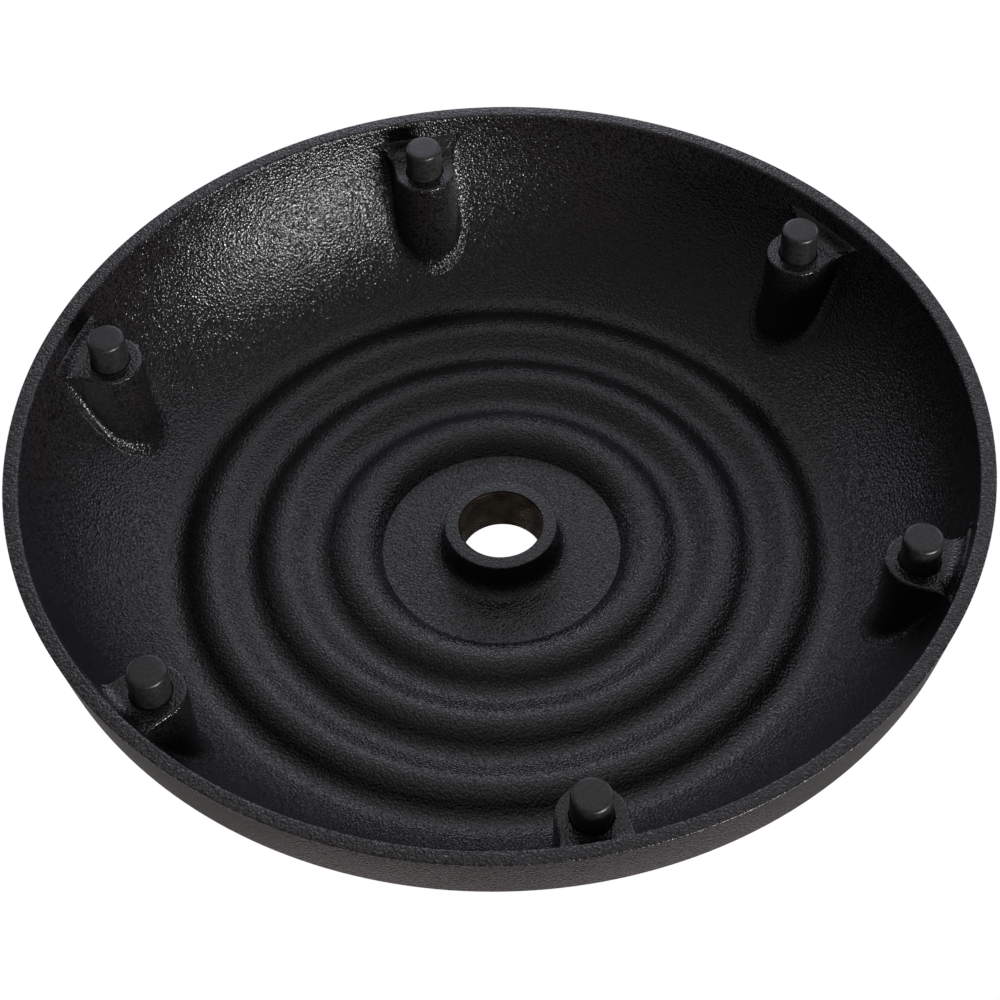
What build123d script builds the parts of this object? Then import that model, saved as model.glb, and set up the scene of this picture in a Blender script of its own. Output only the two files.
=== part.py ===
from build123d import *
import math
import os

# A flag pole stand: one iron casting, a hollow domed disc, on six pressed-in rubber feet.
# It stands as in use: +Z up along the pole, the foot tips on z = 0 and the pole on the axis.
# Units are millimetres.

# Rim and skirt
RIM_RADIUS = 200.0            # outer edge of the rim face, the widest point
RIM_WIDTH = 6.4               # the flat face all round the rim
RIM_HEIGHT = 1.1              # the feet hold the rim this far off the floor
RIM_INNER_EDGE = 1.5          # rounded, where the rim face meets the wall inside
SKIRT_HEIGHT = 28.2           # the plain band above the rim
SKIRT_TAPER = 5.2             # how far the band leans in over that height
SKIRT_EDGE = 2.5              # rounding of the band's upper edge

# Dome, as a section through the axis
WALL_RADIUS = 101.5           # inner face of the dome wall, one large arc
WALL_SLOPE = 80.0             # slope of that arc where it meets the rim, degrees
WALL_THICKNESS = 5.0
FLOOR_Z = 72.1                # underside of the crown between the rings
CROWN_THICKNESS = 6.0

# Three concentric rings pressed down in the crown, each a pair of tangent arcs
RING_COUNT = 3
RING_FIRST = 63.6             # radius of the innermost ring's lowest line
RING_PITCH = 30.4
RING_SLOPE = 40.0             # steepest slope of the wave, degrees
CREST_HALF = 9.0              # from a ring's lowest line to its steepest point
INNER_SLOPE = 30.0            # the inward flanks of the outer two rings are gentler and straight
INNER_BEND = 5.25             # plan width of the bend at each end of those flanks

# Hub for the pole
PLATE_RADIUS = 51.0           # flat round plate at the middle of the underside
PLATE_Z = 74.5
HUB_TOP = 81.1                # seat at the top of the stand, its highest face
HUB_FACE_Z = 58.6             # lower face of the hub
HUB_RADIUS = 23.9
HUB_ROOT_RADIUS = 24.4
HUB_EDGE = 0.7
HUB_FILLET = 7.0
THREAD_MAJOR = 36.0           # M36 x 1.5
THREAD_PITCH = 1.5
THREAD_DEPTH = 0.5413         # depth of an internal thread, in pitches
BORE_RADIUS = THREAD_MAJOR / 2 - THREAD_DEPTH * THREAD_PITCH
BORE_CHAMFER = 0.6

# Feet and the cast bosses that hold them
FOOT_COUNT = 6
FOOT_PITCH_RADIUS = 175.0
FOOT_TIP_RADIUS = 8.0
FOOT_SHANK_RADIUS = 8.2
FOOT_TIP_EDGE = 1.3
FOOT_END_CHAMFER = 0.8
BOSS_FACE_Z = 13.8
BOSS_RADIUS = 13.8
BOSS_FLARE = 7.0              # plan radius where the boss runs out into the wall
HOLE_DEPTH = 12.0
HOLE_CHAMFER = 0.5

# The dome wall's arcs share this centre, as (radius, height)
WALL_C = (
    RIM_RADIUS - RIM_WIDTH - WALL_RADIUS * math.sin(math.radians(WALL_SLOPE)),
    RIM_HEIGHT - WALL_RADIUS * math.cos(math.radians(WALL_SLOPE)),
)
VALLEY_HALF = RING_PITCH / 2 - CREST_HALF
RING_RISE = math.tan(math.radians(RING_SLOPE / 2))      # height of an arc over its half width
CREST_DEPTH = RING_PITCH / 2 * RING_RISE
FLOOR_START = RING_FIRST + RING_PITCH * (RING_COUNT - 0.5)


def on_arc(centre, radius, slope):
    """The point of a section arc where its slope is this many degrees."""
    turn = math.radians(slope)
    return (centre[0] + radius * math.sin(turn), centre[1] + radius * math.cos(turn))


def arc(centre, radius, slope_a, slope_b):
    """A section arc from one slope to another, about a centre below it."""
    stops = (slope_a, (slope_a + slope_b) / 2, slope_b)
    return ThreePointArc(*[on_arc(centre, radius, slope) for slope in stops])


def crown_corner(floor_z, wall_radius):
    """Centre, radius and end slope of the arc that joins the flat floor to the dome wall.

    It touches the floor where the last ring ends and touches the wall's arc from inside.
    """
    run = FLOOR_START - WALL_C[0]
    rise = floor_z - WALL_C[1]
    radius = (wall_radius**2 - run**2 - rise**2) / (2 * (wall_radius - rise))
    slope = math.degrees(math.asin(run / (wall_radius - radius)))
    return (FLOOR_START, floor_z - radius), radius, slope


def ring_wave(floor_z):
    """The three rings as arcs, from the inner flank of the first to the start of the floor."""
    crest_z = floor_z - CREST_DEPTH
    crest_radius = CREST_HALF / math.sin(math.radians(RING_SLOPE))
    valley_radius = VALLEY_HALF / math.sin(math.radians(RING_SLOPE))
    bend_radius = INNER_BEND / math.sin(math.radians(INNER_SLOPE))
    lines = []
    for ring in range(RING_COUNT):
        crest = RING_FIRST + ring * RING_PITCH
        if ring == 0:
            lines.append(arc((crest, crest_z + crest_radius), crest_radius, 180 + RING_SLOPE, 180))
        else:
            before = arc((crest - RING_PITCH / 2, floor_z - bend_radius), bend_radius, 0, INNER_SLOPE)
            after = arc((crest, crest_z + bend_radius), bend_radius, 180 + INNER_SLOPE, 180)
            lines += [before, Polyline(before @ 1, after @ 0), after]
        lines.append(arc((crest, crest_z + crest_radius), crest_radius, 180, 180 - RING_SLOPE))
        lines.append(arc((crest + RING_PITCH / 2, floor_z - valley_radius), valley_radius, -RING_SLOPE, 0))
    return lines


def shell_section():
    """Half of the casting's section, without the bosses: a face right of the axis."""
    under_c, under_r, under_slope = crown_corner(FLOOR_Z, WALL_RADIUS)
    dome_radius = WALL_RADIUS + WALL_THICKNESS
    top_z = FLOOR_Z + CROWN_THICKNESS
    over_c, over_r, over_slope = crown_corner(top_z, dome_radius)
    skirt_top = RIM_HEIGHT + SKIRT_HEIGHT
    skirt_slope = math.degrees(math.acos((skirt_top - WALL_C[1]) / dome_radius))

    under = ring_wave(FLOOR_Z)
    over = ring_wave(top_z)
    under_flank = under[0] @ 0
    over_flank = over[0] @ 0
    # the plate's edge leans as much on top as it does below
    lean = (under_flank.X - PLATE_RADIUS) / (PLATE_Z - under_flank.Y)
    seat_edge = (over_flank.X - lean * (HUB_TOP - over_flank.Y), HUB_TOP)
    rim_inner = (RIM_RADIUS - RIM_WIDTH, RIM_HEIGHT)

    hub = Polyline(
        (BORE_RADIUS, HUB_FACE_Z + BORE_CHAMFER),
        (BORE_RADIUS + BORE_CHAMFER, HUB_FACE_Z),
        (HUB_RADIUS, HUB_FACE_Z),
        (HUB_ROOT_RADIUS, PLATE_Z),
        (PLATE_RADIUS, PLATE_Z),
        under_flank,
    )
    inner_wall = [
        arc(under_c, under_r, 0, under_slope),
        arc(WALL_C, WALL_RADIUS, under_slope, WALL_SLOPE),
    ]
    skirt = Polyline(
        rim_inner,
        (RIM_RADIUS, RIM_HEIGHT),
        (RIM_RADIUS - SKIRT_TAPER, skirt_top),
        on_arc(WALL_C, dome_radius, skirt_slope),
    )
    outer_wall = [
        arc(WALL_C, dome_radius, skirt_slope, over_slope),
        arc(over_c, over_r, over_slope, 0),
    ]
    seat = Polyline(
        over_flank,
        seat_edge,
        (BORE_RADIUS + BORE_CHAMFER, HUB_TOP),
        (BORE_RADIUS, HUB_TOP - BORE_CHAMFER),
        (BORE_RADIUS, HUB_FACE_Z + BORE_CHAMFER),
    )
    outline = [hub, *under, *inner_wall, skirt, *outer_wall, *over, seat]
    section = make_face([edge for line in outline for edge in line.edges()])
    section = round_corner(section, rim_inner, RIM_INNER_EDGE)
    section = round_corner(section, (HUB_RADIUS, HUB_FACE_Z), HUB_EDGE)
    section = round_corner(section, (HUB_ROOT_RADIUS, PLATE_Z), HUB_FILLET)
    return round_corner(section, (RIM_RADIUS - SKIRT_TAPER, skirt_top), SKIRT_EDGE)


def round_corner(section, corner, radius):
    """The section with the corner nearest this point rounded."""
    nearest = min(section.vertices(), key=lambda v: math.hypot(v.X - corner[0], v.Y - corner[1]))
    return fillet(nearest, radius)


def turned(section):
    """A section drawn as (radius, height), turned once about the stand's axis."""
    return revolve(Plane.XZ * section, Axis.Z)


def boss():
    """One boss at angle zero: a tongue in plan, from its flat face up into the dome wall."""
    face_reach = BOSS_FACE_Z - WALL_C[1]
    wall_at_face = WALL_C[0] + math.sqrt(WALL_RADIUS**2 - face_reach**2)
    middle_radius = WALL_RADIUS + WALL_THICKNESS / 2
    round_end = Pos(FOOT_PITCH_RADIUS, 0) * Circle(BOSS_RADIUS)
    web_length = RIM_RADIUS - FOOT_PITCH_RADIUS
    web = Pos(FOOT_PITCH_RADIUS + web_length / 2, 0) * Rectangle(web_length, 2 * BOSS_RADIUS)
    wall_band = Circle(RIM_RADIUS) - Circle(wall_at_face)
    band_part = wall_band & Pos(RIM_RADIUS, 0) * Rectangle(RIM_RADIUS / 2, RIM_RADIUS / 2)
    plan = round_end + web + band_part
    for side in (-1, 1):
        plan = round_corner(plan, (wall_at_face, side * BOSS_RADIUS), BOSS_FLARE)
    tongue = extrude(Pos(0, 0, BOSS_FACE_Z) * plan, FLOOR_Z - BOSS_FACE_Z)
    # the tongue stops halfway through the wall's thickness
    quarter = make_face(
        Polyline(on_arc(WALL_C, middle_radius, 90), WALL_C, on_arc(WALL_C, middle_radius, 0)).edges()
        + arc(WALL_C, middle_radius, 0, 90).edges()
    )
    return tongue & turned(quarter)


def foot_hole():
    """The blind hole in one boss, with its chamfered mouth."""
    mouth = FOOT_SHANK_RADIUS + HOLE_CHAMFER
    section = Polyline(
        (0, BOSS_FACE_Z),
        (mouth, BOSS_FACE_Z),
        (FOOT_SHANK_RADIUS, BOSS_FACE_Z + HOLE_CHAMFER),
        (FOOT_SHANK_RADIUS, BOSS_FACE_Z + HOLE_DEPTH),
        (0, BOSS_FACE_Z + HOLE_DEPTH),
        (0, BOSS_FACE_Z),
    )
    return Pos(FOOT_PITCH_RADIUS, 0, 0) * turned(make_face(section.edges()))


def rubber_foot():
    """One tapered rubber plug, pressed to the bottom of its hole."""
    top = BOSS_FACE_Z + HOLE_DEPTH
    section = Polyline(
        (0, 0),
        (FOOT_TIP_RADIUS, 0),
        (FOOT_SHANK_RADIUS, BOSS_FACE_Z),
        (FOOT_SHANK_RADIUS, top - FOOT_END_CHAMFER),
        (FOOT_SHANK_RADIUS - FOOT_END_CHAMFER, top),
        (0, top),
        (0, 0),
    )
    face = round_corner(make_face(section.edges()), (FOOT_TIP_RADIUS, 0), FOOT_TIP_EDGE)
    return Pos(FOOT_PITCH_RADIUS, 0, 0) * turned(face)


def around(shape, place):
    """A shape made at angle zero, turned to one of the foot positions."""
    return Rot(0, 0, place * 360 / FOOT_COUNT) * shape


casting = turned(shell_section())
for place in range(FOOT_COUNT):
    casting = casting + around(boss(), place) - around(foot_hole(), place)

nodes = {"base_casting": casting}
for place in range(FOOT_COUNT):
    nodes[f"rubber_foot_{place + 1}"] = around(rubber_foot(), place)

os.makedirs("parts", exist_ok=True)
for name, shape in nodes.items():
    export_step(shape, f"parts/{name}.step")
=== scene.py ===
import math

import bpy
import numpy as np
from mathutils import Matrix, Vector


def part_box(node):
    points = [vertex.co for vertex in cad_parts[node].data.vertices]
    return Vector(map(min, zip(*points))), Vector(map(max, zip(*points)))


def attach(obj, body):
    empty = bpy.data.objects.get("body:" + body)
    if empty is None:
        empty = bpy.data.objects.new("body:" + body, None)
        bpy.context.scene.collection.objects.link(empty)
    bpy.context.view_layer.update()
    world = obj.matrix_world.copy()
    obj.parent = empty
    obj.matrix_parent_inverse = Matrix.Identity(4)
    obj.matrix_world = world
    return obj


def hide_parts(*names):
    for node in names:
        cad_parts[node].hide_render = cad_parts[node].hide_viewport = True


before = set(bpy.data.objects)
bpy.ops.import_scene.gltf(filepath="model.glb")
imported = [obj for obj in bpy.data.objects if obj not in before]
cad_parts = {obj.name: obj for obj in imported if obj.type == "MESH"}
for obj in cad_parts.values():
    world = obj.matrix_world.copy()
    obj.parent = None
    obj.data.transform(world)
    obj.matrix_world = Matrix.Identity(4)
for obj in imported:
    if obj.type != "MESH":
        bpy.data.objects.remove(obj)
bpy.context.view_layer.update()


# ---------------------------------------------------------------------------------------------
# Base casting. One sand casting in grey iron: a hollow domed disc with a plain skirt at its rim,
# three rings pressed down into its crown and a hub on its axis. It is shaken out of a sand
# mould, ground flat on the rim, and painted black, so the paint keeps the grain of the sand.
# ---------------------------------------------------------------------------------------------
mm = 0.001
casting_low, casting_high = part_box("base_casting")

rim_radius = max(casting_high.x, casting_high.y)
rim_z = casting_low.z
rim_width = 6.4 * mm
rim_inner_edge = 1.5 * mm
rim_outer_edge = 0.5 * mm
run_in = 1.0 * mm                 # the last of the wall before the rim's inner edge
skirt_height = 28.2 * mm
skirt_taper = 5.2 * mm
skirt_edge = 2.5 * mm
skirt_root = 3.0 * mm             # the cove where the dome leaves the skirt's shoulder

wall_radius = 101.5 * mm          # the dome wall's inner face is one large arc
wall_slope = 80.0                 # degrees, where that arc meets the rim
wall_thickness = 5.0 * mm
wall_r = rim_radius - rim_width - wall_radius * math.sin(math.radians(wall_slope))
wall_z = rim_z - wall_radius * math.cos(math.radians(wall_slope))

ring_count = 3
ring_first = 63.6 * mm
ring_pitch = 30.4 * mm
ring_slope = 40.0                 # degrees, at the steepest line of a ring's flank
crest_half = 9.0 * mm
inner_slope = 30.0                # the inward flanks of the outer two rings are gentler
inner_bend = 5.25 * mm
valley_half = ring_pitch / 2 - crest_half
ring_rise = math.tan(math.radians(ring_slope / 2))
floor_start = ring_first + ring_pitch * (ring_count - 0.5)

seat_z = casting_high.z           # the hub's seat is the highest face
floor_z = seat_z - 9.0 * mm       # underside of the crown
crown_thickness = 6.0 * mm
plate_radius = 51.0 * mm
plate_z = seat_z - 6.6 * mm
hub_face_z = seat_z - 22.5 * mm
hub_radius = 23.9 * mm
hub_draft = 0.5 * mm
hub_edge = 0.7 * mm
hub_fillet = 7.0 * mm
bore_wall = 18.1 * mm             # behind the thread, which is a piece of its own
plate_edge = 0.8 * mm
crisp_edge = 0.15 * mm            # keeps the faces round the bore flat up to its mouth

columns = 240                     # round the axis
wall_steps = 44                   # along the section
dome_steps = 40
ring_steps = 8
corner_steps = 8
shoulder_steps = 4                # of the dome's, taken up by the cove at its foot


def arc(centre, radius, start, stop, steps):
    """Section points on a circle: centre plus radius times (sine, cosine) of an angle that runs
    from start to stop."""
    turn = np.radians(np.linspace(start, stop, steps + 1))
    return np.stack([centre[0] + radius * np.sin(turn), centre[1] + radius * np.cos(turn)], 1)


def rounded(points, corners, steps=4):
    """A polyline whose named corners are rounded: each is cut back to its tangent points and
    joined by a quadratic curve, (1-t)^2 a + 2t(1-t) corner + t^2 b."""
    line = [np.array(p, float) for p in points]
    out = [line[0][None]]
    t = np.linspace(0, 1, steps + 1)[:, None]
    for i in range(1, len(line) - 1):
        if i not in corners:
            out.append(line[i][None])
            continue
        before, after = line[i - 1] - line[i], line[i + 1] - line[i]
        cos_turn = before @ after / np.linalg.norm(before) / np.linalg.norm(after)
        cut = corners[i] / math.tan(math.acos(cos_turn) / 2)
        a = line[i] + before / np.linalg.norm(before) * cut
        b = line[i] + after / np.linalg.norm(after) * cut
        out.append((1 - t) ** 2 * a + 2 * t * (1 - t) * line[i] + t**2 * b)
    out.append(line[-1][None])
    return np.concatenate(out)


def crown_corner(crown_z, radius_outside):
    """Centre, radius and end slope of the arc between the flat of the crown and the dome wall:
    it touches the flat where the last ring ends, and the wall's arc from inside."""
    run, rise = floor_start - wall_r, crown_z - wall_z
    radius = (radius_outside**2 - run**2 - rise**2) / (2 * (radius_outside - rise))
    slope = math.degrees(math.asin(run / (radius_outside - radius)))
    return (floor_start, crown_z - radius), radius, slope


def ring_wave(crown_z):
    """The rings' section: each ring is an arc down to its crest and up again, with an arc over the
    valley beyond it. The inward flanks of the outer two rings are gentler, and straight between
    their bends."""
    crest_radius = crest_half / math.sin(math.radians(ring_slope))
    valley_radius = valley_half / math.sin(math.radians(ring_slope))
    bend_radius = inner_bend / math.sin(math.radians(inner_slope))
    crest_z = crown_z - ring_pitch / 2 * ring_rise
    parts = []
    for ring in range(ring_count):
        crest = ring_first + ring * ring_pitch
        if ring == 0:
            bend = (crest, crest_z + crest_radius)
            parts.append(arc(bend, crest_radius, 180 + ring_slope, 180, ring_steps))
        else:
            bend = (crest - ring_pitch / 2, crown_z - bend_radius)
            parts.append(arc(bend, bend_radius, 0, inner_slope, ring_steps)[1:])
            bend = (crest, crest_z + bend_radius)
            parts.append(arc(bend, bend_radius, 180 + inner_slope, 180, ring_steps))
        bend = (crest, crest_z + crest_radius)
        parts.append(arc(bend, crest_radius, 180, 180 - ring_slope, ring_steps)[1:])
        bend = (crest + ring_pitch / 2, crown_z - valley_radius)
        parts.append(arc(bend, valley_radius, -ring_slope, 0, ring_steps)[1:])
    return np.concatenate(parts)


def under_section():
    """The underside from the bore out to the rim's inner edge."""
    wave = ring_wave(floor_z)
    hub = rounded(
        [
            (bore_wall, hub_face_z),
            (bore_wall + crisp_edge, hub_face_z),
            (hub_radius, hub_face_z),
            (hub_radius + hub_draft, plate_z),
            (plate_radius, plate_z),
            wave[0],
        ],
        {2: hub_edge, 3: hub_fillet, 4: plate_edge},
        corner_steps,
    )
    corner_c, corner_r, slope = crown_corner(floor_z, wall_radius)
    corner = arc(corner_c, corner_r, 0, slope, corner_steps)
    wall = arc((wall_r, wall_z), wall_radius, slope, wall_slope, wall_steps)
    return np.concatenate([hub, wave[1:], corner[1:], wall[1:-1]])


def over_section():
    """The top from the skirt's shoulder in to the bore."""
    dome_radius = wall_radius + wall_thickness
    shoulder_z = rim_z + skirt_height
    shoulder_slope = math.degrees(math.acos((shoulder_z - wall_z) / dome_radius))
    corner_c, corner_r, slope = crown_corner(floor_z + crown_thickness, dome_radius)
    wave = ring_wave(floor_z + crown_thickness)[::-1]
    dome = arc((wall_r, wall_z), dome_radius, shoulder_slope, slope, dome_steps)
    flank_rise = plate_z - floor_z + (ring_pitch / 2 - crest_half) * ring_rise
    seat_edge = wave[-1][0] - (wave[-1][0] - plate_radius) / flank_rise * (seat_z - wave[-1][1])
    run_in_rise = run_in / math.tan(math.radians(90 - wall_slope))
    rim = rounded(
        [
            (rim_radius - rim_width - run_in, rim_z + run_in_rise),
            (rim_radius - rim_width, rim_z),
            (rim_radius, rim_z),
            (rim_radius - skirt_taper, shoulder_z),
            dome[0],
            dome[shoulder_steps],
        ],
        {1: rim_inner_edge, 2: rim_outer_edge, 3: skirt_edge, 4: skirt_root},
    )
    corner = arc(corner_c, corner_r, slope, 0, corner_steps)
    seat = rounded(
        [wave[-1], (seat_edge, seat_z), (bore_wall + crisp_edge, seat_z), (bore_wall, seat_z)],
        {1: plate_edge},
    )
    return np.concatenate([rim[1:], dome[shoulder_steps + 1:], corner[1:], wave[1:], seat[1:]])


def spin(section, count):
    """A section turned once about the axis: (r cos a, r sin a, z) on a grid of angles by points."""
    a = np.linspace(0, 2 * np.pi, count, endpoint=False)[:, None]
    r, z = section[None, :, 0], section[None, :, 1]
    return np.stack([r * np.cos(a), r * np.sin(a), z + 0 * a], -1)


def grid_faces(rows, cols, close_rows=True, close_cols=True):
    """Quads of a rows by cols grid, joined round either way where it closes."""
    i, j = np.meshgrid(np.arange(rows if close_rows else rows - 1),
                       np.arange(cols if close_cols else cols - 1), indexing="ij")
    i2, j2 = (i + 1) % rows, (j + 1) % cols
    return np.stack([i * cols + j, i2 * cols + j, i2 * cols + j2, i * cols + j2], -1).reshape(-1, 4)


def make_piece(name, vertices, quads, triangles=()):
    """A smooth-shaded mesh object at the origin, with its place in its mesh."""
    mesh = bpy.data.meshes.new(name)
    faces = np.asarray(quads).tolist() + [list(t) for t in triangles]
    mesh.from_pydata(vertices.reshape(-1, 3).tolist(), [], faces)
    mesh.polygons.foreach_set("use_smooth", np.ones(len(mesh.polygons), bool))
    mesh.update()
    piece = bpy.data.objects.new(name, mesh)
    bpy.context.scene.collection.objects.link(piece)
    return piece


section = np.concatenate([under_section(), over_section()])
shell = spin(section, columns)
casting = make_piece("casting", shell, grid_faces(columns, len(section)))


def hex_colour(code):
    """A linear colour from an sRGB hex code: ((c + 0.055) / 1.055) ^ 2.4 above the toe."""
    c = np.array([int(code[i:i + 2], 16) for i in (1, 3, 5)]) / 255
    return tuple(np.where(c <= 0.04045, c / 12.92, ((c + 0.055) / 1.055) ** 2.4)) + (1.0,)


def add_node(tree, kind, settings=None, links=None):
    """Adds one shader node, sets its properties and plain sockets, and links the others."""
    made = tree.nodes.new("ShaderNode" + kind)
    for key, value in (settings or {}).items():
        if isinstance(key, str) and hasattr(made, key) and key not in made.inputs:
            setattr(made, key, value)
        else:
            made.inputs[key].default_value = value
    for key, socket in (links or {}).items():
        tree.links.new(socket, made.inputs[key])
    return made


def new_material(name):
    """An empty node material, and its node tree."""
    made = bpy.data.materials.new(name)
    made.use_nodes = True
    made.node_tree.nodes.clear()
    return made, made.node_tree


# Semi-gloss black enamel sprayed over bare sand-cast iron. The eye gets a fine pebble that breaks
# highlights into sparkles: the sand's grain, drawn at 1.2 mm, coarser than real sand's 0.4 mm, so
# that it shows at the stand's full size.
pebble_size = 1.2 * mm
grit_size = 0.9 * mm
pebble_depth = 0.26 * mm
face_grain = 0.16 * mm            # the hub's and bosses' faces are dressed flat before painting
drift_size = 30 * mm              # slow changes of gloss, where the coat is thicker
gloss_span = (0.17, 0.25)         # roughness, from the thickest coat to the thinnest


def enamel(name, depth):
    """The paint over sand grain of a given depth."""
    made, tree = new_material(name)
    place = add_node(tree, "TexCoord").outputs["Object"]
    pebble = add_node(tree, "TexVoronoi", {"Scale": 1 / pebble_size}, {"Vector": place})
    grit = add_node(tree, "TexNoise", {"Scale": 1 / grit_size, "Detail": 1.0}, {"Vector": place})
    drift = add_node(tree, "TexNoise", {"Scale": 1 / drift_size, "Detail": 3.0}, {"Vector": place})
    relief = add_node(
        tree, "Math", {"operation": "SUBTRACT"},
        {0: grit.outputs["Fac"], 1: pebble.outputs["Distance"]},
    )
    bump = add_node(
        tree, "Bump", {"Strength": 1.0, "Distance": depth}, {"Height": relief.outputs[0]}
    )
    gloss = add_node(
        tree, "MapRange",
        {"From Min": 0.3, "From Max": 0.7, "To Min": gloss_span[0], "To Max": gloss_span[1]},
        {"Value": drift.outputs["Fac"]},
    )
    # Painted shade and light: the colour follows the same Voronoi distance as the bump, so it is
    # darker in the pits between the pebbles and lighter on their tops.
    tone = add_node(tree, "ValToRGB", {}, {"Fac": pebble.outputs["Distance"]})
    tone.color_ramp.elements[0].position = 0.15
    tone.color_ramp.elements[0].color = hex_colour("#262426")
    tone.color_ramp.elements[1].position = 0.75
    tone.color_ramp.elements[1].color = hex_colour("#0d0b0b")
    body = add_node(
        tree, "BsdfPrincipled", {"IOR": 1.5},
        {
            "Base Color": tone.outputs["Color"],
            "Roughness": gloss.outputs[0],
            "Normal": bump.outputs["Normal"],
        },
    )
    add_node(tree, "OutputMaterial", {}, {"Surface": body.outputs[0]})
    return made


paint = enamel("black_enamel_on_sand_cast_iron", pebble_depth)
face_paint = enamel("black_enamel_on_dressed_faces", face_grain)
casting.data.materials.append(paint)
casting.data.materials.append(face_paint)
hub_face_quads = 2                # the first of each column's, from the bore to the hub's edge
along = np.arange(columns * len(section)) % len(section)
casting.data.polygons.foreach_set("material_index", (along < hub_face_quads).astype(int))
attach(casting, "root")
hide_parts("base_casting")


# ---------------------------------------------------------------------------------------------
# Socket thread. The hub is drilled through and tapped M36 x 1.5 for the pole tube. The cut
# metal isn't painted: it is bare grey iron, dulled brown by oil and the first rust.
# ---------------------------------------------------------------------------------------------
thread_major = 18.0 * mm
thread_pitch = 1.5 * mm
thread_height = 0.5413            # of the pitch, in an ISO metric nut thread
thread_flat = 0.125               # of the height is cut off at the crests, and at the roots
thread_minor = thread_major - thread_height * thread_pitch
thread_mouth = 0.84 * mm          # depth of the chamfer at each end
thread_columns = 96
rows_per_turn = 10
mouth_gap = 0.02 * mm             # keeps the liner's ends just inside the hub's faces
liner_depth = 0.4 * mm            # of the liner's back behind the bore's wall


def tapped_wall():
    """The bore's wall on a grid of angles by heights. Its radius follows a 60 degree thread, a
    flat-topped triangle wave of height minus pitch times angle over a full turn, and opens out
    to the major radius in the chamfer at each mouth."""
    bottom, top = hub_face_z + mouth_gap, seat_z - mouth_gap
    rows = int((top - bottom) / thread_pitch * rows_per_turn)
    z = np.linspace(bottom, top, rows)[None, :]
    a = np.linspace(0, 2 * np.pi, thread_columns, endpoint=False)[:, None]
    phase = (z / thread_pitch - a / (2 * np.pi)) % 1
    wave = np.clip(np.abs(phase - 0.5) * 2 * (1 + 2 * thread_flat) - thread_flat, 0, 1)
    r = thread_major - (thread_major - thread_minor) * wave
    mouth = thread_minor + np.clip(thread_mouth - np.minimum(z - bottom, top - z), 0, None)
    r = np.minimum(np.maximum(r, mouth), thread_major)
    return np.stack([r * np.cos(a), r * np.sin(a), z + 0 * a], -1)


wall = tapped_wall()
back = wall[:, [-1, 0]].copy()
back[..., :2] *= ((bore_wall + liner_depth) / np.linalg.norm(back[..., :2], axis=-1))[..., None]
liner = np.concatenate([wall, back], 1)
thread = make_piece("socket_thread", liner, grid_faces(thread_columns, liner.shape[1]))

# Bare grey iron cut by a tap, with patches of oil stain. The eye gets fine bright crests over roots
# darkened with painted shade.
stain_size = 6 * mm
bare, tree = new_material("tapped_bare_grey_iron")
place = add_node(tree, "TexCoord").outputs["Object"]
stain = add_node(tree, "TexNoise", {"Scale": 1 / stain_size, "Detail": 4.0}, {"Vector": place})
tone = add_node(tree, "ValToRGB", {}, {"Fac": stain.outputs["Fac"]})
tone.color_ramp.elements[0].position = 0.3
tone.color_ramp.elements[0].color = hex_colour("#463f37")
tone.color_ramp.elements[1].position = 0.7
tone.color_ramp.elements[1].color = hex_colour("#6e665b")
# Painted shade: the colour darkens from the thread's crests, at the minor radius, towards its roots
# at the major radius.
across = add_node(tree, "VectorMath", {"operation": "MULTIPLY", 1: (1, 1, 0)}, {0: place})
reach = add_node(tree, "VectorMath", {"operation": "LENGTH"}, {0: across.outputs[0]})
root = add_node(
    tree, "MapRange",
    {"From Min": thread_minor, "From Max": thread_major, "To Min": 0, "To Max": 0.85},
    {"Value": reach.outputs["Value"]},
)
painted_root_shade = add_node(
    tree, "MixRGB", {2: hex_colour("#0d0b09")}, {0: root.outputs[0], 1: tone.outputs["Color"]}
)
body = add_node(
    tree, "BsdfPrincipled", {"Metallic": 1.0, "Roughness": 0.42}, {"Base Color": painted_root_shade.outputs[0]}
)
add_node(tree, "OutputMaterial", {}, {"Surface": body.outputs[0]})
thread.data.materials.append(bare)
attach(thread, "root")


# ---------------------------------------------------------------------------------------------
# Foot bosses. Six tongues cast in one with the dome wall, each with a flat face a little inside
# the rim and a blind hole for a foot. Their roots run out into the wall in wide sand-mould
# fillets, and they carry the same paint.
# ---------------------------------------------------------------------------------------------
foot_count = 6
foot_nodes = [f"rubber_foot_{k + 1}" for k in range(foot_count)]
first_low, first_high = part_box(foot_nodes[0])
foot_pitch = (first_low.x + first_high.x) / 2
hole_end_z = first_high.z
shank_radius = (first_high.x - first_low.x) / 2
hole_depth = 12.0 * mm
boss_face_z = hole_end_z - hole_depth
boss_radius = 13.8 * mm
boss_flare = 7.0 * mm
boss_edge = 1.2 * mm
edge_fade = 0.6                   # of the flare's length, in which the rounded edge dies away
tip_points, side_points, flare_points, back_points = 19, 7, 13, 7
flare_start = tip_points + side_points - 2
boss_draft = math.tan(math.radians(1.5))
boss_fillet = 5.0 * mm
fillet_share = 0.9                # of the side's height, at most
least_room = 0.1 * mm
boss_cove = 6.0 * mm              # between the face and the wall behind it
cove_overlap = 1.0 * mm
cove_end = 0.98                   # of its radius, just short of upright
hole_mouth = 0.5 * mm
face_lead = 0.4 * mm              # of flat face inside the rounded edge
hidden_depth = 1.8 * mm           # how far the tongue is let into the wall behind it
hidden_back = 2.4 * mm            # and how far its back is
just_inside = 0.9999              # of the wall arc's radius, so that its height stays real
back_rise = (1.0 * mm, 0.5 * mm)  # of the back's rows, all inside the wall
side_angle, flare_angle, back_angle = 58, 32, 26   # degrees round the hole where each part ends
wall_x = wall_r + math.sqrt(wall_radius**2 - (boss_face_z - wall_z) ** 2)  # level with a face


def under_height(r):
    """Height of the dome wall's inner face at a radius: the height of its arc's centre plus the
    root of R^2 - x^2."""
    x = np.clip(r - wall_r, 0, wall_radius * just_inside)
    return wall_z + np.sqrt(wall_radius**2 - x**2)


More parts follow.
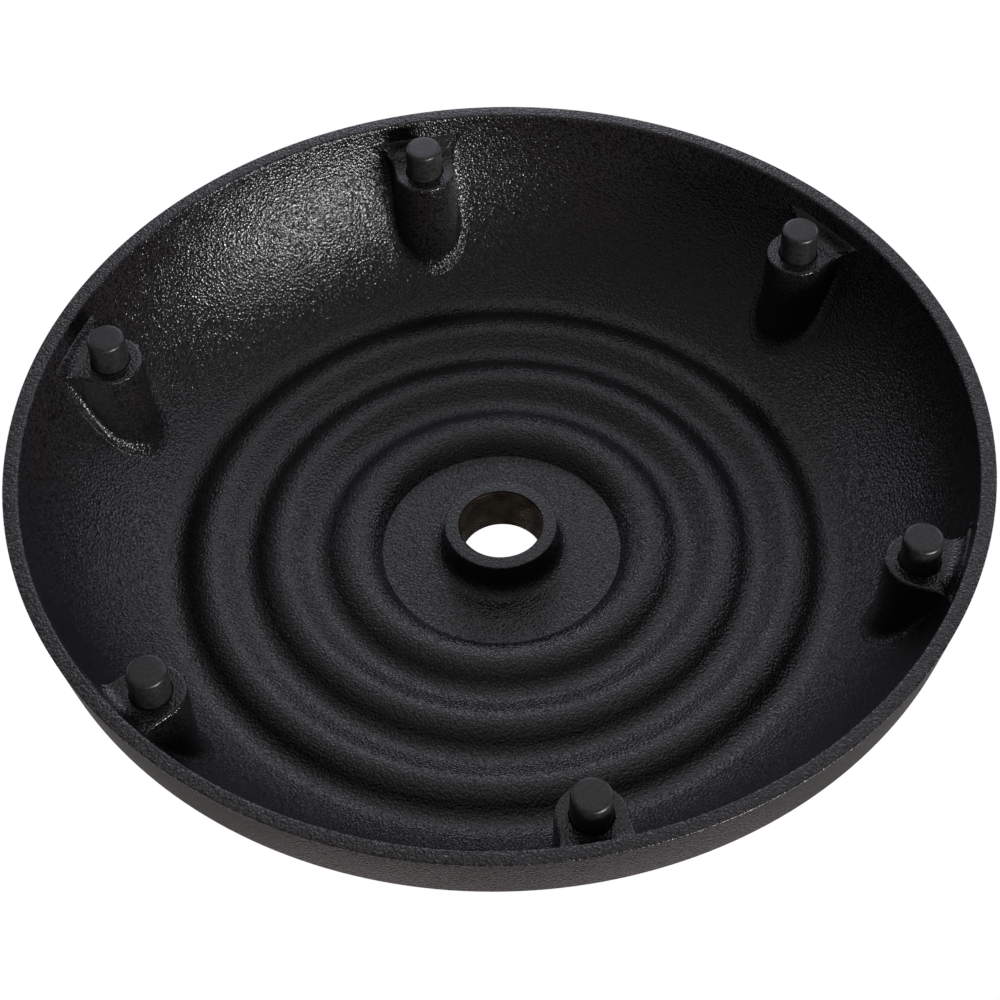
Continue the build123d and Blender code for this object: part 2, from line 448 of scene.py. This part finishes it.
def face_height(points):
    """Height of a boss face: flat, then a quarter-round cove that turns down to meet the wall,
    face minus R (1 - sqrt(1 - x^2)), x being the distance past the cove's start over R."""
    past = np.hypot(points[:, 0], points[:, 1]) - wall_x - cove_overlap
    x = np.clip(past / boss_cove + 1, 0, cove_end)
    return boss_face_z - boss_cove * (1 - np.sqrt(1 - x**2))


def tongue_outline():
    """Half the tongue's outline in plan, tip to wall: points, outward normals and, for the hole,
    matching angles. A quarter circle round the foot, a straight side, and a flare that curves
    out of the side into the wall."""
    flare_x = wall_x - boss_flare
    flare_y = boss_radius + boss_flare
    turn = np.radians(np.linspace(180, 90, tip_points))
    tip = np.stack([foot_pitch + boss_radius * np.cos(turn), boss_radius * np.sin(turn)], 1)
    tip_n = np.stack([np.cos(turn), np.sin(turn)], 1)
    side_x = np.linspace(foot_pitch, flare_x, side_points)[1:]
    side = np.stack([side_x, 0 * side_x + boss_radius], 1)
    side_n = np.tile([0.0, 1.0], (len(side), 1))
    turn = np.radians(np.linspace(-90, 0, flare_points))[1:]
    out = np.stack([np.cos(turn), np.sin(turn)], 1)
    flare = np.array([flare_x, flare_y]) + boss_flare * out
    hole_angle = np.concatenate([
        np.linspace(180, 90, tip_points),
        np.linspace(90, side_angle, side_points)[1:],
        np.linspace(side_angle, flare_angle, flare_points)[1:],
    ])
    return np.concatenate([tip, side, flare]), np.concatenate([tip_n, side_n, -out]), hole_angle


def tongue():
    """One boss at angle zero, as a closed grid: columns round the outline, rows from the bottom of
    the hole, over the face, down the side and along the root fillet into the wall."""
    half, half_n, half_a = tongue_outline()
    back_y = np.linspace(half[-1, 1], -half[-1, 1], back_points)
    back = np.stack([0 * back_y + half[-1, 0] + hidden_back, back_y], 1)
    flip = np.array([1, -1])
    plan = np.concatenate([half, back, half[:0:-1] * flip])
    normal = np.concatenate([half_n, np.zeros_like(back), half_n[:0:-1] * flip])
    back_a = np.linspace(back_angle, -back_angle, back_points)
    angle = np.radians(np.concatenate([half_a, back_a, -half_a[:0:-1]]))
    seen = np.linalg.norm(normal, axis=1) > 0
    fade = np.clip((plan[:, 0] - half[flare_start, 0]) / (edge_fade * boss_flare), 0, 1)
    edge = boss_edge * np.where(seen, 1 - 0.9 * fade, 0.1)

    def ring(radius, z):
        """A circle round the foot's axis, one point per column."""
        x, y = foot_pitch + radius * np.cos(angle), radius * np.sin(angle)
        return np.stack([x, y, z + 0 * angle], 1)

    def offset(distance, z):
        """The outline moved outward by a distance, at a height."""
        moved = plan + normal * np.reshape(distance, (-1, 1))
        return np.concatenate([moved, np.reshape(z + 0 * angle, (-1, 1))], 1)

    def wall_height(distance):
        """Height of the dome wall under the outline moved outward."""
        moved = plan + normal * np.reshape(distance, (-1, 1))
        return under_height(np.hypot(moved[:, 0], moved[:, 1]))

    def on_face(points, sink=0.0):
        """Points dropped on the face, or sunk behind it by a depth."""
        height = face_height(points) + sink
        return np.concatenate([points[:, :2], height[:, None]], 1)

    rows = [ring(shank_radius * f, hole_end_z) for f in (0.4, 0.8, 1.0)]
    hole_z = np.linspace(hole_end_z, boss_face_z + hole_mouth, 5)[1:]
    rows += [ring(shank_radius, z) for z in hole_z]
    for t in np.linspace(0, 1, 5)[1:]:
        rows.append(ring(shank_radius + hole_mouth * t, boss_face_z + hole_mouth * (1 - t) ** 2))
    inner = offset(-edge - face_lead, boss_face_z)
    mouth = rows[-1]
    across = (0.06, 0.15, 0.3, 0.45, 0.6, 0.7, 0.8, 0.9, 1.0)
    rows += [on_face(mouth + (inner - mouth) * t) for t in across]
    for t in np.radians(np.linspace(0, 90, 7)):
        rows.append(on_face(offset(-edge * (1 - math.sin(t)), 0), edge * (1 - math.cos(t))))

    reach = np.full(len(plan), boss_fillet)
    end_z = wall_height(reach)
    step = 0.05 * mm
    fall = (wall_height(reach + step) - wall_height(reach - step)) / (2 * step)
    corner_z = end_z - fall * reach
    top_z = face_height(plan) + edge
    room = np.clip(corner_z - top_z, least_room, None)
    start_z = top_z + room - np.minimum(boss_fillet, fillet_share * room)
    drift_out = boss_draft * (start_z - top_z)
    for t in np.linspace(0, 1, 7)[1:]:
        z_t = top_z + (start_z - top_z) * t
        rows.append(offset(drift_out * t, np.where(seen, z_t, top_z + back_rise[0] * t)))
    corner_z = top_z + room
    for t in np.linspace(0, 1, 13)[1:]:
        out_t = (1 - t) ** 2 * drift_out + 2 * t * (1 - t) * drift_out + t**2 * reach
        z_t = (1 - t) ** 2 * start_z + 2 * t * (1 - t) * corner_z + t**2 * end_z
        rows.append(offset(out_t, np.where(seen, z_t, top_z + back_rise[0] + back_rise[1] * t)))
    rows.append(rows[-1] + np.array([0, 0, hidden_depth]))
    grid = np.stack(rows)
    bottom = np.array([[foot_pitch, 0, hole_end_z]])
    lid = np.array([[foot_pitch, 0, under_height(foot_pitch) + 2 * hidden_depth]])
    return grid, bottom, lid


def turned(points, degrees):
    """Points turned about the stand's axis."""
    a = math.radians(degrees)
    turn = np.array([[math.cos(a), math.sin(a), 0], [-math.sin(a), math.cos(a), 0], [0, 0, 1]])
    return points @ turn


boss_grid, boss_bottom, boss_lid = tongue()
boss_rows, boss_cols = boss_grid.shape[:2]
boss_quads = grid_faces(boss_rows, boss_cols, close_rows=False)[:, ::-1]
spot = np.arange(boss_cols)
following = (spot + 1) % boss_cols
last = (boss_rows - 1) * boss_cols
bottom_index = 0 * spot + boss_rows * boss_cols   # the lid's point follows it
bottom_fan = np.stack([spot, following, bottom_index], 1)[:, ::-1]
lid_fan = np.stack([last + following, last + spot, bottom_index + 1], 1)[:, ::-1]
face_rows = (6, 24)               # from the hole's mouth to the edge's far side
quad_row = np.repeat(np.arange(boss_rows - 1), boss_cols)
dressed = (quad_row >= face_rows[0]) & (quad_row < face_rows[1])
face_index = np.concatenate([dressed, np.zeros(2 * boss_cols, bool)]).astype(int)
boss_points = np.concatenate([boss_grid.reshape(-1, 3), boss_bottom, boss_lid])
for place_number in range(foot_count):
    boss = make_piece(
        f"foot_boss_{place_number + 1}",
        turned(boss_points, 360 / foot_count * place_number),
        boss_quads,
        np.concatenate([bottom_fan, lid_fan]).tolist(),
    )
    boss.data.materials.append(paint)
    boss.data.materials.append(face_paint)
    boss.data.polygons.foreach_set("material_index", face_index)
    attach(boss, "root")


# ---------------------------------------------------------------------------------------------
# Rubber feet. Six moulded plugs of hard black rubber, pressed into the blind holes. Each tapers
# to a flat tip with a small rounded edge, and stands just proud of the rim.
# ---------------------------------------------------------------------------------------------
foot_tip_radius = 8.0 * mm
foot_tip_edge = 1.8 * mm
foot_end_edge = 0.6 * mm
foot_end_gap = 0.3 * mm           # short of the bottom of the hole
foot_squeeze = 0.1 * mm           # clear of the hole's wall
tip_centre, tip_start, end_centre = 0.01 * mm, 0.1 * mm, 0.02 * mm
foot_columns = 64


def foot_section():
    """From the tip's centre out over its rounded edge, up the taper and into the hole."""
    return rounded(
        [
            (tip_centre, 0),
            (tip_start, 0),
            (foot_tip_radius / 2, 0),
            (foot_tip_radius, 0),
            (shank_radius - foot_squeeze, boss_face_z),
            (shank_radius - foot_squeeze, hole_end_z - foot_end_gap),
            (end_centre, hole_end_z - foot_end_gap),
        ],
        {3: foot_tip_edge, 5: foot_end_edge},
        steps=6,
    )


# Hard black rubber straight from a smooth mould. The eye gets a soft sheen with a sharp glint on
# the tip's edge, and a faint cloudy bloom on the faces.
skin_size = 0.8 * mm
skin_depth = 0.05 * mm
bloom_size = 1.8 * mm
rubber, tree = new_material("moulded_black_rubber")
place = add_node(tree, "TexCoord").outputs["Object"]
skin = add_node(tree, "TexNoise", {"Scale": 1 / skin_size, "Detail": 3.0}, {"Vector": place})
bloom = add_node(tree, "TexNoise", {"Scale": 1 / bloom_size, "Detail": 4.0}, {"Vector": place})
bump = add_node(
    tree, "Bump", {"Strength": 1.0, "Distance": skin_depth}, {"Height": skin.outputs["Fac"]}
)
tone = add_node(tree, "ValToRGB", {}, {"Fac": bloom.outputs["Fac"]})
tone.color_ramp.elements[0].position = 0.35
tone.color_ramp.elements[0].color = hex_colour("#171718")
tone.color_ramp.elements[1].position = 0.7
tone.color_ramp.elements[1].color = hex_colour("#2b2a29")
body = add_node(
    tree, "BsdfPrincipled", {"Roughness": 0.36, "IOR": 1.47},
    {"Base Color": tone.outputs["Color"], "Normal": bump.outputs["Normal"]},
)
add_node(tree, "OutputMaterial", {}, {"Surface": body.outputs[0]})

foot_line = foot_section()
for place_number, node_name in enumerate(foot_nodes):
    upright = spin(foot_line, foot_columns).reshape(-1, 3) + np.array([foot_pitch, 0, 0])
    foot = make_piece(
        f"foot_{place_number + 1}",
        turned(upright, 360 / foot_count * place_number),
        grid_faces(foot_columns, len(foot_line)),
    )
    foot.data.materials.append(rubber)
    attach(foot, "root")
    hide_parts(node_name)


# ---------------------------------------------------------------------------------------------
# Studio. The stand is looked at from underneath, so the camera, the two key lights and the wide
# bluish back lights are below the floor, a plain pale board that shows from above only. The soft
# boxes above it light the top side.
# ---------------------------------------------------------------------------------------------
def direction(azimuth, elevation):
    """Unit vector at an angle round the axis from +X and an angle above the floor."""
    a, e = math.radians(azimuth), math.radians(elevation)
    return Vector((math.cos(a) * math.cos(e), math.sin(a) * math.cos(e), math.sin(e)))


camera_azimuth = 69.66
camera_elevation = -49.02
camera_distance = 4.7167 * rim_radius
camera_pitch = 50.62              # its line of sight rises this much above the horizon
camera_roll = -1.925
camera_lens = 83.77               # millimetres, on a sensor this wide
camera_sensor = 36
rim_centre = Vector((0, 0, rim_z))

camera_data = bpy.data.cameras.new("camera")
camera_data.sensor_width = camera_sensor
camera_data.lens = camera_lens
camera_data.clip_start = 10 * mm
camera = bpy.data.objects.new("camera", camera_data)
bpy.context.scene.collection.objects.link(camera)
sight = direction(camera_azimuth + 180, camera_pitch)
level = Vector((math.sin(math.radians(camera_azimuth)), -math.cos(math.radians(camera_azimuth)), 0))
upward = level.cross(sight)
roll = math.radians(camera_roll)
right = level * math.cos(roll) + upward * math.sin(roll)
up = upward * math.cos(roll) - level * math.sin(roll)
stance = rim_centre + direction(camera_azimuth, camera_elevation) * camera_distance
facing = Matrix((right, up, -sight)).transposed().to_4x4()
camera.matrix_world = Matrix.Translation(stance) @ facing
bpy.context.scene.camera = camera


def soft_light(name, azimuth, elevation, distance, width, height, watts, colour="#ffffff"):
    """A rectangular soft box that faces the middle of the stand and doesn't show itself."""
    data = bpy.data.lights.new(name, "AREA")
    data.shape = "RECTANGLE"
    data.size, data.size_y = width, height
    data.energy = watts
    data.color = hex_colour(colour)[:3]
    made = bpy.data.objects.new(name, data)
    bpy.context.scene.collection.objects.link(made)
    away = direction(azimuth, elevation)
    facing = away.to_track_quat("Z", "Y").to_matrix().to_4x4()
    made.matrix_world = Matrix.Translation(away * distance) @ facing
    made.visible_camera = False
    return made


soft_light("key_low", 24, -10, 1.8, 0.3, 0.3, 27)
soft_light("key_grazing", 38, -5, 1.8, 0.35, 0.35, 15.5)
soft_light("back_low_left", -155.3, -20, 1.8, 0.8, 0.8, 3.1, "#ededff")
soft_light("back_low_middle", -110.3, -20, 1.8, 0.8, 0.8, 4.8, "#ededff")
soft_light("back_low_right", -65.3, -20, 1.8, 0.8, 0.8, 4.0, "#ededff")
soft_light("back_mid_middle", -110.3, -44, 1.8, 0.8, 0.8, 1.8, "#ededff")
soft_light("back_mid_right", -65.3, -44, 1.8, 0.8, 0.8, 1.8, "#ededff")
soft_light("back_high", -110.3, -68, 1.8, 1.0, 1.0, 1.3)
soft_light("straight_below", 0, -90, 1.8, 0.9, 0.9, 1.0)
soft_light("near_above_left", 10, 24, 2.0, 0.9, 0.9, 7)
soft_light("near_above_right", 130, 24, 2.0, 0.9, 0.9, 8)
soft_light("far_above_left", -165, 20, 2.0, 0.9, 0.7, 8)
soft_light("far_above_right", -50, 20, 2.0, 0.9, 0.7, 10)
soft_light("overhead", -110, 78, 2.0, 1.2, 1.2, 1.4, "#fff0f1")

floor_reach = 60                  # metres each way, so that no edge shows
corner_signs = ((-1, -1), (1, -1), (1, 1), (-1, 1))
floor_corners = [(x * floor_reach, y * floor_reach, 0) for x, y in corner_signs]
floor_data = bpy.data.meshes.new("floor")
floor_data.from_pydata(floor_corners, [], [(0, 1, 2, 3)])
floor = bpy.data.objects.new("floor", floor_data)
bpy.context.scene.collection.objects.link(floor)
floor.visible_shadow = False
floor.visible_diffuse = False
floor.visible_glossy = False
# Matt pale card, lifted a little so that it stays pale where the soft boxes don't reach.
board, tree = new_material("pale_studio_board")
side = add_node(tree, "NewGeometry").outputs["Backfacing"]
clear = add_node(tree, "BsdfTransparent")
pale = add_node(tree, "BsdfDiffuse", {"Color": hex_colour("#e4e3e0")})
lift = add_node(tree, "Emission", {"Color": hex_colour("#e4e3e0"), "Strength": 0.45})
lifted = add_node(tree, "AddShader", {}, {0: pale.outputs[0], 1: lift.outputs[0]})
mixed = add_node(tree, "MixShader", {}, {0: side, 1: lifted.outputs[0], 2: clear.outputs[0]})
add_node(tree, "OutputMaterial", {}, {"Surface": mixed.outputs[0]})
floor_data.materials.append(board)

world = bpy.data.worlds.new("studio")
bpy.context.scene.world = world
world.use_nodes = True
tree = world.node_tree
tree.nodes.clear()
seen = add_node(tree, "LightPath").outputs["Is Camera Ray"]
glow = add_node(tree, "Background", {"Color": hex_colour("#fff6f5"), "Strength": 0.19})
white = add_node(tree, "Background", {"Color": hex_colour("#ffffff"), "Strength": 1.0})
mixed = add_node(tree, "MixShader", {}, {0: seen, 1: glow.outputs[0], 2: white.outputs[0]})
add_node(tree, "OutputWorld", {}, {"Surface": mixed.outputs[0]})

bpy.context.scene.view_settings.view_transform = "Standard"
